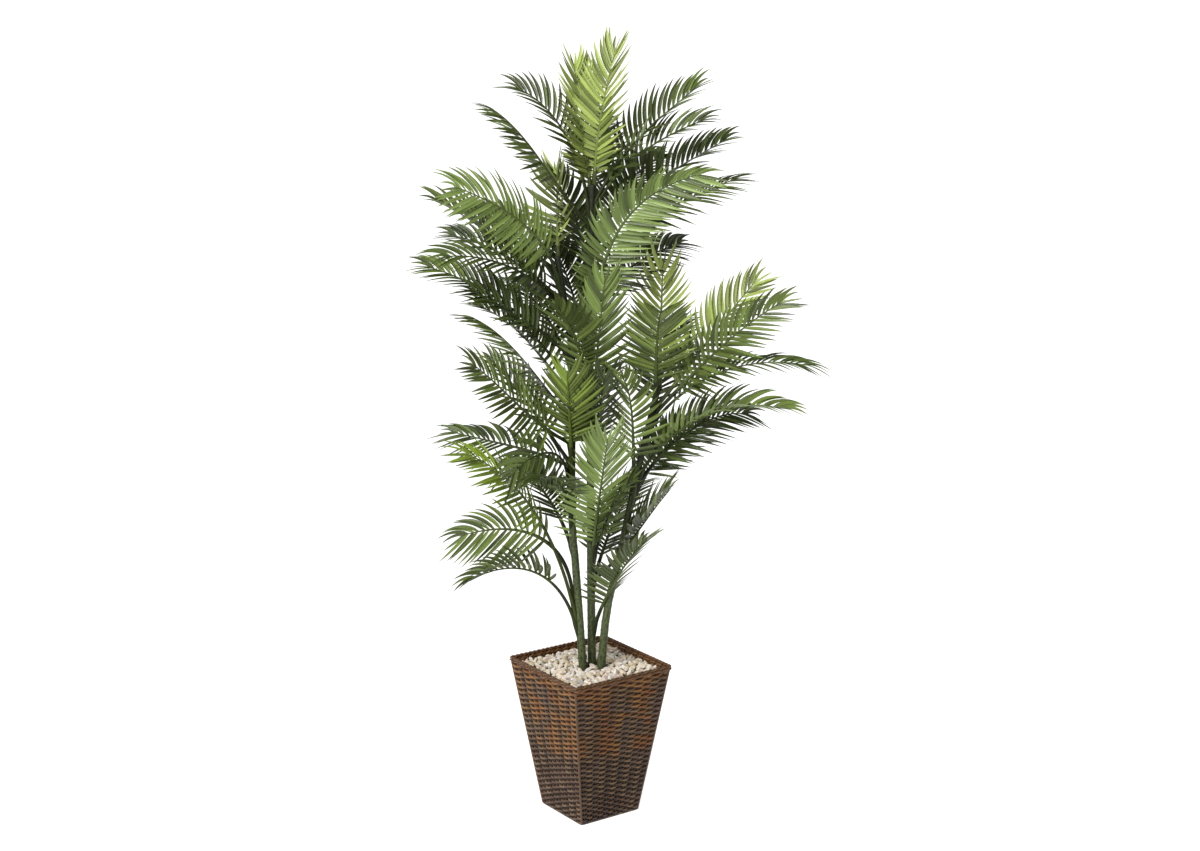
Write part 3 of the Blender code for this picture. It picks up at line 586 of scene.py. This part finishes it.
def weave_zone(z, stake):
    """The zone of a place in the weave: the low one reaches up to a line that steps up and down."""
    if z > EDGE_ROWS_FROM:
        return "edge"
    if z < TONE_CHANGE + TONE_STEP * (stake // TONE_STEP_STAKES % 3 - 1):
        return "low"
    return "cool" if stake // SIDE_STAKES % 2 else "warm"


def wicker_number(name):
    """The number of a tone among the wicker's finishes."""
    return list(WICKER_COLOURS).index(name)


def row_tones(z, dark, picks):
    """The finish of each step of a strand, which only changes where the strand is inside a stake."""
    tones = []
    for stake in range(STAKES):
        seen = (stake + (stake + dark) % 2) % STAKES
        shares = TONES[weave_zone(z, seen)][dark]
        place = int(np.searchsorted(np.cumsum(list(shares.values()))[:-1], picks[seen]))
        tones += [wicker_number(list(shares)[place])] * STRAND_STEPS
    return np.roll(tones, STRAND_STEPS // 2)[None]


def make_weave(finishes, rng):
    """The woven wall, in an upper and a lower piece."""
    rows = list(enumerate(weave_rows()))
    picks = rng.random(STAKES)
    parts = {"lower": rows[:len(rows) // 2], "upper": rows[len(rows) // 2:]}
    for name, part in parts.items():
        weave = Patchwork()
        for number, (z, pitch) in part:
            dark = number % 2
            fresh = rng.random(STAKES) < 1 / TONE_RUN
            picks = np.where(fresh, rng.random(STAKES), picks)
            grid, tones = strand_grid(z, pitch, dark), row_tones(z, dark, picks)
            weave.add_grids(grid[None], tones, closed=True, length=pot_round(z))
        weave.make("weave_" + name, finishes, "wicker", ["basket"])


def upright(share, depth, ends, radius):
    """A thin upright rod in the wall, between the heights of its ends."""
    points, out = around_pot(np.full(2, share), np.array(ends), depth)
    side = np.cross(UP, out)
    size = np.full(2, radius)
    return tube(points, out, side, size, size, ROPE_SIDES)


def make_stakes(finishes):
    """The stakes inside the weave, and a thicker one in each corner."""
    stakes = Patchwork()
    for stake in range(STAKES):
        rod = upright((stake + 0.5) / STAKES, WEAVE_DEPTH, STAKE_ENDS, STAKE_RADIUS)
        stakes.add_grids(rod[None], wicker_number("umber"), closed=True, length=POT_HEIGHT)
    for corner in range(4):
        rod = upright(corner / 4, POST_DEPTH, POST_ENDS, POST_RADIUS)
        stakes.add_grids(rod[None], wicker_number("cocoa"), closed=True, length=POT_HEIGHT)
    stakes.make("stakes", finishes, "wicker", ["basket"])


def rope_grids(rope):
    """The two twisted strands of a rope round the rim."""
    shares = np.linspace(0, 1, ROPE_STEPS + 1)
    points, out = around_pot(shares, rope.z, rope.depth)
    turns = round(pot_round(rope.z) / ROPE_LAY)
    size = np.full(len(shares), rope.radius)
    grids = []
    for phase in (0, math.pi):
        angle = shares * turns * 2 * math.pi + phase
        path = points + out * column(np.cos(angle) * rope.twist) + UP * column(np.sin(angle) * rope.twist)
        grids.append(tube(path, out, -UP[None].repeat(len(path), 0), size, size, ROPE_SIDES))
    return np.stack(grids)


def tie_grid(share):
    """A thin flat tie from the top of the rim down its inside."""
    z, depth = np.array(TIE_ROUTE).T
    points, out = around_pot(np.full(len(z), share), z, depth)
    side = np.cross(UP, out) * TIE_HALF
    return np.stack((points - side, points + side), axis=1)


def make_rim(finishes):
    """The ropes round the rim, and the ties over them."""
    rim = Patchwork()
    for rope in ROPES:
        tones = [[wicker_number(tone)] for tone in rope.tones]
        rim.add_grids(rope_grids(rope), tones, closed=True, length=pot_round(POT_HEIGHT))
    for tie in range(TIES):
        rim.add_grids(tie_grid((tie + 0.5) / TIES)[None], wicker_number("honey"), length=TIE_GRAIN)
    rim.make("rim", finishes, "wicker", ["basket"])


def pot_rings(rings):
    """A grid of rings round the pot, from the heights and depths of the rings."""
    shares = np.linspace(0, 1, LINER_STEPS + 1)
    return np.stack([around_pot(shares, np.full(shares.shape, z), depth)[0] for z, depth in rings])


def make_liner():
    """The dark lining behind the weave, and the plate that the pot stands on."""
    liner = Patchwork()
    liner.add_grids(pot_rings(LINER_RINGS)[None], length=POT_HEIGHT)
    liner.add_grids(pot_rings(PLATE_RINGS)[None], length=PLATE_GRAIN)
    liner.make("liner", [plain_finish("liner")], "wicker", ["basket"])


# Pebbles

def stone_shapes(rng):
    """Angular pebbles of unit size: balls cut flat on many sides. Gives their points, and the faces."""
    ball = bmesh.new()
    bmesh.ops.create_icosphere(ball, subdivisions=3, radius=1.0)
    points = np.array([vert.co for vert in ball.verts])
    faces = np.array([[vert.index for vert in face.verts] for face in ball.faces])
    ball.free()
    shapes = []
    for _ in range(STONE_KINDS):
        shape = points.copy()
        for normal in unit(rng.normal(size=(STONE_CUTS, 3))):
            beyond = np.maximum(shape @ normal - rng.uniform(*STONE_CUT_AT), 0)
            shape -= column(beyond) * normal
        shapes.append(shape)
    return shapes, faces


def bed_height(x, y):
    """Height of the bed, level in its middle and lower at the rim."""
    edge = pot_half(BED_EDGE) - POT_WALL
    share = max(abs(x), abs(y)) / edge
    slope = max(share - BED_LEVEL_SHARE, 0) / (1 - BED_LEVEL_SHARE)
    return blend(BED_TOP, BED_EDGE, min(slope, 1.0))


def near_stem(place):
    """Whether a pebble at a place on the bed would cut into a stem."""
    feet = [(crown_turn() @ Vector((*stem.route[0], 0)), stem.foot_radius) for stem in STEMS]
    return any((Vector((*place, 0)) - foot).length < radius + STONE_HALF[2] for foot, radius in feet)


def stone_places(rng):
    """Places of the pebbles on the bed: a grid with some scatter, and free of the stems."""
    reach = pot_half(BED_EDGE) - POT_WALL - STONE_HALF[1]
    spots = np.arange(-reach, reach + STONE_PITCH / 2, STONE_PITCH)
    for x in spots:
        for y in spots:
            place = np.array((x, y)) + rng.uniform(-STONE_SCATTER, STONE_SCATTER, 2) * STONE_PITCH
            place = np.clip(place, -reach, reach)
            if not near_stem(place):
                yield place


def stone_points(shapes, place, rng):
    """A pebble at a place on the bed, turned and sized by chance, and kept inside the pot."""
    turn = Euler((rng.normal() * STONE_TILT, rng.normal() * STONE_TILT, rng.uniform(0, 2 * math.pi)), "ZYX")
    size = np.array(STONE_HALF) * rng.uniform(*STONE_SIZES, 3)
    shape = shapes[rng.integers(STONE_KINDS)] * size @ np.array(turn.to_matrix()).T
    points = shape + (*place, bed_height(*place) + rng.uniform(*STONE_LIFT))
    wall = column(pot_half(points[:, 2]) - LINER_DEPTH)
    points[:, :2] = np.clip(points[:, :2], -wall, wall)
    return points


def make_pebbles(rng):
    """The loose pebbles on the bed, which itself only shows between them, painted dark as the shade in those
    gaps.
    """
    shapes, faces = stone_shapes(rng)
    pebbles = Patchwork()
    for place in stone_places(rng):
        points = stone_points(shapes, place, rng)
        tone = rng.choice(len(STONE_SHARES), p=list(STONE_SHARES.values()))
        pebbles.add_faces(points, faces, tone, np.zeros((faces.size, 2)))
    finishes = [tinted_finish("stone_" + name, "stone", STONE_COLOURS[name]) for name in STONE_SHARES]
    pebbles.make("pebbles", finishes, "pebbles", crease=STONE_CREASE)
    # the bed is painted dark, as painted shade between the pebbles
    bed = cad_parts["pebble_bed"]
    bed.data.materials.clear()
    bed.data.materials.append(plain_finish("bed"))


# Stems

def stem_route(stem):
    """Points on a smooth curve through a stem's route (Catmull-Rom), as in the part."""
    route = [np.array((*stem.route[0], BED_TOP + GAP)), *(np.array(point) for point in stem.route[1:])]
    ends = [route[0] * 2 - route[1], *route, route[-1] * 2 - route[-2]]
    points = []
    for step in range(STEM_STEPS + 1):
        place = step * (len(route) - 1) / STEM_STEPS
        span = min(int(place), len(route) - 2)
        t = place - span
        p0, p1, p2, p3 = ends[span:span + 4]
        points.append(0.5 * (2 * p1 + (p2 - p0) * t + (2 * p0 - 5 * p1 + 4 * p2 - p3) * t ** 2
                             + (3 * p1 - p0 - 3 * p2 + p3) * t ** 3))
    return np.array(points)


def stem_radius(stem, z):
    """A stem's radius at a height."""
    return blend(stem.foot_radius, stem.tip_radius, (z - BED_TOP) / (stem.route[-1][2] - BED_TOP))


def stem_place(stem, z):
    """The axis, its direction and the radius of a stem at a height."""
    points = stem_route(stem)
    low = min(np.searchsorted(points[:, 2], z), len(points) - 1)
    start, end = points[low - 1], points[low]
    axis = blend(start, end, (z - start[2]) / (end[2] - start[2]))
    return axis, unit(end - start), stem_radius(stem, z)


def along_route(places, marks, values):
    """Points or directions at places along a line, from those at its marks."""
    return np.stack([np.interp(places, marks, axis) for axis in values.T], axis=1)


def stem_grid(stem, rng):
    """Rings up a stem, with scars round it and streaks along it, and a blunt tip."""
    route = stem_route(stem)
    z = np.arange(route[0][2] - STEM_SINK, route[-1][2], STEM_ROW)
    path = np.concatenate((along_route(z, route[:, 2], route[:, :2]), column(z)), axis=1)
    ahead = unit(np.gradient(path, axis=0))
    right = unit(np.cross(ahead, heading(90)))
    up = np.cross(ahead, right)
    radius = stem_radius(stem, z)
    scar = (z + rng.uniform(0, RING_SPACING)) % RING_SPACING - RING_SPACING / 2
    radius = radius * (1 + RING_RELIEF * np.exp(-(scar / RING_WIDTH) ** 2))
    streak = 1 + STREAK_RELIEF * rng.uniform(-1, 1, STEM_SIDES)
    angle = np.linspace(0, 2 * math.pi, STEM_SIDES, endpoint=False)
    ring = np.outer(radius, np.cos(angle) * streak), np.outer(radius, np.sin(angle) * streak)
    rings = path[:, None] + right[:, None] * column(ring[0]) + up[:, None] * column(ring[1])
    cap = path[-1] + ahead[-1] * STEM_CROWN_HEIGHT + (rings[-1] - path[-1]) * STEM_CROWN
    return np.concatenate((rings, cap[None]))


def stem_finish(name):
    """The finish of the stems' own colour, or of their upper part painted dark as shade among the fronds,
    whose grain goes from one colour to another.
    """
    surface = SURFACES["stem"]
    dark, light = (linear(colour, share) for colour, share in zip(STEM_COLOURS[name], surface.shares))
    return grained_finish(name, surface, dark, light)


def make_stems(rng):
    """Each stem as a piece of its own, painted dark above a height as painted shade among the fronds."""
    finishes = [stem_finish(name) for name in STEM_COLOURS]
    for stem in STEMS:
        patch = Patchwork()
        grid = stem_grid(stem, rng)
        # rows above that height take the painted shade
        high = grid[1:, 0, 2] > STEM_PAINTED_SHADE_FROM
        patch.add_grids(grid[None], high[None].astype(int), closed=True, length=len(grid) * STEM_ROW)
        patch.make("stem_mesh_" + stem.name, finishes, "stem", ["stem_" + stem.name], turned=True)


# Fronds

def stem_of(frond):
    """The stem that carries a frond."""
    return next(stem for stem in STEMS if stem.name == frond.stem)


def rib_curve(frond):
    """Points along a frond, from its petiole's foot beside the stem to its tip, as in the part."""
    axis, climb, radius = stem_place(stem_of(frond), frond.foot)
    out = heading(frond.azimuth)
    beside = unit(out - climb * out.dot(climb))
    above = heading(frond.azimuth, frond.rise + 90)
    foot = axis + beside * (radius + GAP + PETIOLE_DEPTH / 2 * abs(above.dot(beside)))
    tip = axis + out * frond.reach
    tip[2] = frond.tip
    chord = np.linalg.norm(tip - foot)
    leave = heading(frond.azimuth, frond.rise) * chord * frond.spring
    arrive = heading(frond.azimuth, -frond.fall) * chord
    t = column(np.linspace(0, 1, RIB_SAMPLES + 1))
    return ((2 * t ** 3 - 3 * t ** 2 + 1) * foot + (t ** 3 - 2 * t ** 2 + t) * leave
            + (3 * t ** 2 - 2 * t ** 3) * tip + (t ** 3 - t ** 2) * arrive)


def lengths_along(points):
    """How far each of the points lies along the line through them."""
    return np.concatenate(([0.0], np.cumsum(np.linalg.norm(np.diff(points, axis=0), axis=1))))


def rib_frames(frond, points, shares):
    """Points, directions, left sides and upper faces of the blade at shares of the rib's length."""
    lengths = lengths_along(points)
    reach = shares * lengths[-1]
    place = along_route(reach, lengths, points)
    ahead = unit(along_route(reach, lengths, np.gradient(points, axis=0)))
    level = np.cross(UP, heading(frond.azimuth))
    above = np.cross(ahead, level)
    roll = column(math.radians(frond.roll) * np.minimum(shares / frond.bare, 1.0))
    left = level * np.cos(roll) + above * np.sin(roll)
    face = above * np.cos(roll) - level * np.sin(roll)
    return place, ahead, left, face


def sheath_rings(frond, ring):
    """Rings down the stem from a petiole's first ring, ever smaller and deeper in the stem."""
    axis, climb, _ = stem_place(stem_of(frond), frond.foot)
    foot = ring.mean(axis=0)
    shares = column(SHEATH_SHARES)
    middles = foot - climb * shares * SHEATH_LENGTH - (foot - axis) * shares * SHEATH_SINK
    return middles[:, None] + (ring - foot) * column(1 - SHEATH_THINNING * shares)


def rib_grid(frond, points):
    """The petiole and rib: an oval tube that grows out of the stem and thins to its tip."""
    shares = np.linspace(0, RIB_LAST_SHARE, RIB_ROWS)
    place, _, left, face = rib_frames(frond, points, shares)
    marks = (0.0, frond.bare, RIB_END_SHARE, RIB_LAST_SHARE)
    flare = 1 + FOOT_FLARE * np.exp(-shares / FOOT_FLARE_SHARE)
    scale = np.interp(shares, marks, RIB_FULLNESS) * flare / 2
    wide = np.interp(shares, marks, (PETIOLE_WIDTH, RIB_WIDTH, RIB_END_WIDTH, RIB_POINT)) * scale
    deep = np.interp(shares, marks, (PETIOLE_DEPTH, RIB_DEPTH, RIB_END_DEPTH, RIB_POINT)) * scale
    rings = tube(place, left, face, wide, deep, RIB_SIDES)
    return np.concatenate((sheath_rings(frond, rings[0]), rings))


def leaflet_length(frond, place):
    """Lengths of leaflets at places from 0, the first, to 1, the last, by the part's rule."""
    swell = np.sin(math.pi / 2 * np.minimum(place / LEAF_LONGEST_AT, 1.0))
    fade = np.clip((place - LEAF_LONGEST_AT) / (1 - LEAF_LONGEST_AT), 0, 1) ** LEAF_FADE
    return frond.leaf * blend(LEAF_ROOT_LENGTH, 1.0, swell) * blend(1.0, LEAF_END_LENGTH, fade)


def leaflet_ways(ahead, left, face, angle, lift):
    """Ways along leaflets, across them to the frond's tip, and up from them, by their angles and lifts."""
    angle, lift = column(np.radians(angle)), column(np.radians(lift))
    sideways = left * np.cos(lift) + face * np.sin(lift)
    upper = face * np.cos(lift) - left * np.sin(lift)
    along = ahead * np.cos(angle) + sideways * np.sin(angle)
    across = ahead * np.sin(angle) - sideways * np.cos(angle)
    return along, across, upper


def leaflet_middles(root, along, across, size):
    """Lines along the middles of leaflets, bowed to the frond's tip and drooping."""
    s = np.linspace(0, 1, LEAF_ROWS)
    reach, bow = np.outer(size, s), np.outer(size, 4 * s * (1 - s)) * LEAF_BOW
    droop = np.outer(size * np.hypot(along[:, 0], along[:, 1]), s ** 2) * LEAF_DROOP
    return root[:, None] + along[:, None] * column(reach) - across[:, None] * column(bow) - UP * column(droop)


def leaflet_blades(middle, across, upper, twist, slim, side):
    """Leaflets round their middles, folded along them and twisted to their tips, as wide as slim says."""
    s = np.linspace(0, 1, LEAF_ROWS)
    twist = column(np.outer(np.radians(twist), s))
    edge = across[:, None] * np.cos(twist) + upper[:, None] * np.sin(twist)
    rise = upper[:, None] * np.cos(twist) - across[:, None] * np.sin(twist)
    half = np.outer(slim, np.interp(s, LEAF_PLACES, LEAF_WIDTHS)) * LEAF_HALF_WIDTH
    strips = np.linspace(-side, side, LEAF_STRIPS + 1)
    fold = math.radians(LEAF_FOLD)
    outward = column(half[..., None] * strips) * math.cos(fold)
    upward = column(half[..., None] * np.abs(strips)) * math.sin(fold)
    return middle[:, :, None] + edge[:, :, None] * outward + rise[:, :, None] * upward


def leaflet_grids(frond, points, side, rng):
    """The leaflets on the left (1) or the right (-1) of a rib."""
    leafy, length = RIB_END_SHARE - frond.bare, lengths_along(points)[-1]
    spacing = DENSE_SPACING if frond.name.startswith(DENSE_FRONDS) else LEAF_SPACING
    pairs = round(leafy * length / spacing)

    def jitter(most):
        return rng.uniform(-most, most, pairs + 1)

    place = np.minimum((np.arange(pairs + 1) + 0.5 + jitter(SPACING_JITTER)) / pairs, 1.0)
    root, ahead, left, face = rib_frames(frond, points, frond.bare + leafy * place)
    lift = frond.lift + jitter(LIFT_JITTER)
    angle = blend(LEAF_ROOT_ANGLE, LEAF_END_ANGLE, place) + jitter(ANGLE_JITTER)
    angle[-1] = LAST_ANGLE
    along, across, upper = leaflet_ways(ahead, left * side, face, angle, lift)
    size = leaflet_length(frond, place) * (1 + jitter(LENGTH_JITTER))
    size[-1] = (1 - RIB_END_SHARE) * length
    middle = leaflet_middles(root, along, across, size)
    slim = np.sqrt(size / frond.leaf)
    return leaflet_blades(middle, across, upper, jitter(TWIST_JITTER), slim, side)


def shade_shares(frond):
    """How often each shade, plain, painted light or painted shade, comes among a frond's leaflets."""
    if frond.name.startswith(SUNNY_FRONDS):
        return SUNNY_SHARES
    return DIM_SHARES if frond.name.startswith(DIM_FRONDS) else SHADE_SHARES


def rib_parts(frond):
    """For each row of faces of a rib, 0 in its sheath and petiole and 1 between its leaflets."""
    leafy = np.linspace(0, RIB_LAST_SHARE, RIB_ROWS)[1:] > frond.bare
    return np.concatenate((np.zeros(len(SHEATH_SHARES)), leafy)).astype(int)


def make_fronds(rng):
    """The leaflets of each tint as one piece, and their ribs as another."""
    for tint in LEAF_COLOURS:
        leaves, ribs = Patchwork(), Patchwork()
        fronds = [frond for frond in FRONDS if frond.tint == tint]
        for frond in fronds:
            points = rib_curve(frond)
            grid, length = rib_grid(frond, points), lengths_along(points)[-1]
            ribs.add_grids(grid[None], rib_parts(frond)[None], closed=True, length=length)
            for side in (1, -1):
                grids = leaflet_grids(frond, points, side, rng)
                # each leaflet is dealt the plain colour, painted light or painted shade
                shades = rng.choice(len(SHADES), size=(len(grids), 1), p=shade_shares(frond))
                leaves.add_grids(grids, shades)
        slot, nodes = "frond_" + tint, ["frond_" + frond.name for frond in fronds]
        leaves.make("leaflets_" + tint, leaf_finishes(tint), slot, nodes, turned=True, crease=LEAF_CREASE)
        ribs.make("ribs_" + tint, rib_finishes(tint), slot, nodes, turned=True)


# Studio

def make_floor():
    """A pale paper floor that glows a little, as one lit from below does."""
    mesh = bpy.data.meshes.new("floor")
    corners = [(x * FLOOR_HALF, y * FLOOR_HALF, 0) for x, y in ((-1, -1), (1, -1), (1, 1), (-1, 1))]
    mesh.from_pydata(corners, [], [(0, 1, 2, 3)])
    finish = plain_finish("floor")
    shader = finish.node_tree.nodes["Principled BSDF"]
    shader.inputs["Emission Color"].default_value = (1, 1, 1, 1)
    shader.inputs["Emission Strength"].default_value = FLOOR_GLOW
    mesh.materials.append(finish)
    floor = bpy.data.objects.new("floor", mesh)
    bpy.context.scene.collection.objects.link(floor)


def add_light():
    """A pale studio that is dimmer overhead, and one large soft lamp above the camera's left."""
    scene = bpy.context.scene
    studio = bpy.data.worlds.new("studio")
    scene.world = studio
    studio.use_nodes = True
    background = studio.node_tree.nodes["Background"]
    background.inputs["Color"].default_value = (1, 1, 1, 1)
    way = add_node(studio, "TexCoord", {}).outputs["Generated"]
    climb = add_node(studio, "SeparateXYZ", {"Vector": way}).outputs["Z"]
    ranges = {"Value": climb, "From Max": SKY_FADE, "To Min": SKY_LOW, "To Max": SKY_HIGH}
    fade = add_node(studio, "MapRange", ranges).outputs["Result"]
    studio.node_tree.links.new(fade, background.inputs["Strength"])
    lamp = bpy.data.lights.new("key", "SUN")
    lamp.angle = math.radians(KEY_SOFTNESS)
    lamp.energy = KEY_STRENGTH
    key = bpy.data.objects.new("key", lamp)
    key.rotation_euler = (crown_turn() @ Vector(KEY_FROM)).to_track_quat("Z", "Y").to_euler()
    scene.collection.objects.link(key)
    scene.view_settings.view_transform = "Standard"


def add_camera():
    """The camera, in front of the plant, a little above it and looking down."""
    camera = bpy.data.objects.new("camera", bpy.data.cameras.new("camera"))
    camera.data.lens = CAMERA_LENS
    camera.data.clip_end = CAMERA_REACH
    camera.location = crown_turn() @ Vector((0, -CAMERA_BACK, CAMERA_HEIGHT))
    camera.rotation_euler = [math.radians(angle) for angle in (90 - CAMERA_PITCH, 0, CROWN_YAW + CAMERA_YAW)]
    bpy.context.scene.collection.objects.link(camera)
    bpy.context.scene.camera = camera


def main():
    """Builds it all, with a stream of chance of its own for each part."""
    weave_rng, stone_rng, stem_rng, frond_rng = (np.random.default_rng(SEED + step) for step in range(4))
    wicker = [tinted_finish("wicker_" + name, "wicker", colour) for name, colour in WICKER_COLOURS.items()]
    make_weave(wicker, weave_rng)
    make_stakes(wicker)
    make_rim(wicker)
    make_liner()
    make_pebbles(stone_rng)
    make_stems(stem_rng)
    make_fronds(frond_rng)
    make_floor()
    add_light()
    add_camera()


main()
